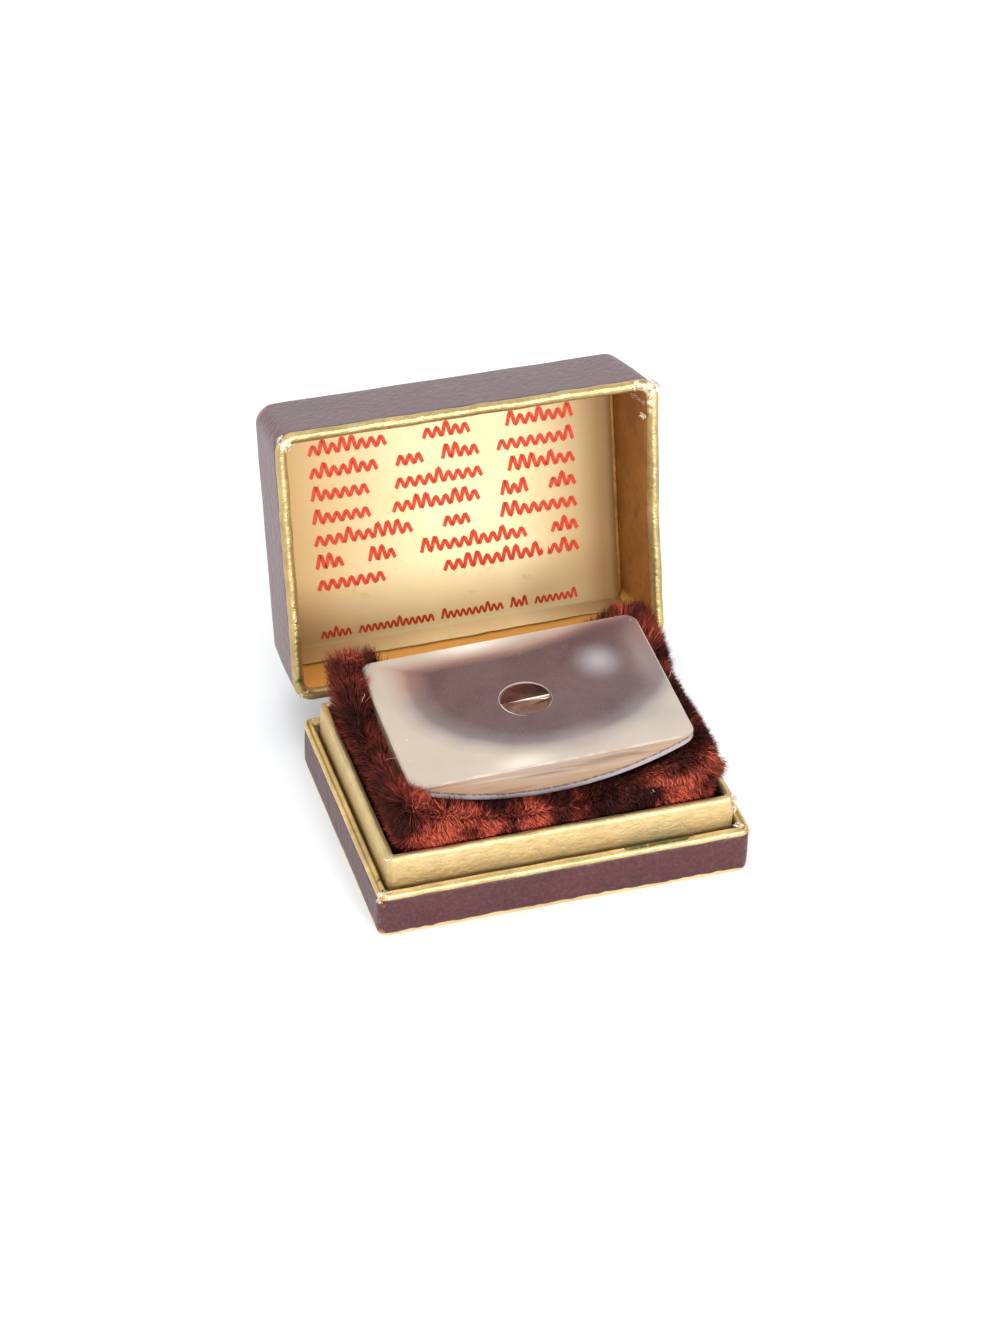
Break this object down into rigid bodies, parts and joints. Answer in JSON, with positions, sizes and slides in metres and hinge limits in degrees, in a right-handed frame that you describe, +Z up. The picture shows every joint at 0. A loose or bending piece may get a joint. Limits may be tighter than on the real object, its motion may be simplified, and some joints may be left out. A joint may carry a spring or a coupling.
{
  "type": "cased field lens",
  "caption": "Rectangular ground-glass field lens with a round split-image spot, lying on a plush pad in a hinged burgundy presentation case with gilt edges.",
  "frame": {"origin": "centre of the case's underside", "axes": "+X to the right along the long side, +Y from the opening edge towards the hinge, +Z up; the lid stands open on its stop"},
  "size_m": [0.0522, 0.0629, 0.0452],
  "materials": {
    "burgundy_covering": "fine-grained bookcloth paper, worn at the corners",
    "card": "matt grey-brown card",
    "foot_paper": "matt tan paper",
    "gilt_paper": "satin gold-coloured paper",
    "amber_lining": "satin amber-gold paper, aged",
    "notice_paper": "yellowed matt paper",
    "plush": "wine-red cut pile",
    "wadding": "soft wadding block",
    "ground_glass": "ground upper face, polished curved underside",
    "clear_glass": "polished",
    "hinge_brass": "dull rolled brass"
  },
  "bodies": {
    "base": {"foot_board": "foot_paper", "base_floor": "card", "base_wall_front": "card", "base_wall_back": "card", "base_wall_left": "card", "base_wall_right": "card", "neck_front": "card", "neck_back": "card", "neck_left": "card", "neck_right": "card", "pad_card": "card", "base_covering": "burgundy_covering", "base_gilt_edge": "gilt_paper", "neck_gilt_paper": "gilt_paper", "plush_cover": "plush", "pad_core": "wadding", "hinge_leaf_base": "hinge_brass", "hinge_pin": "hinge_brass", "hinge_tacks_base": "hinge_brass"},
    "lid": {"lid_panel": "card", "lid_wall_front": "card", "lid_wall_back": "card", "lid_wall_left": "card", "lid_wall_right": "card", "lid_covering": "burgundy_covering", "lid_gilt_edge": "gilt_paper", "lid_wall_lining": "amber_lining", "lid_panel_lining": "amber_lining", "lid_notice_card": "notice_paper", "hinge_leaf_lid": "hinge_brass", "hinge_tacks_lid": "hinge_brass"},
    "lens": {"field_lens": "ground_glass", "wedge_front": "clear_glass", "wedge_back": "clear_glass"}
  },
  "joints": [
    {"name": "lid_hinge", "type": "hinge", "parent": "base", "child": "lid", "pos_m": [0, 0.0203, 0.0072], "axis": [1, 0, 0], "range_deg": [0, 104.2]},
    {"name": "lens_lift", "type": "slide", "parent": "base", "child": "lens", "axis": [0, 0, 1], "range_m": [0, 0.04]}
  ]
}
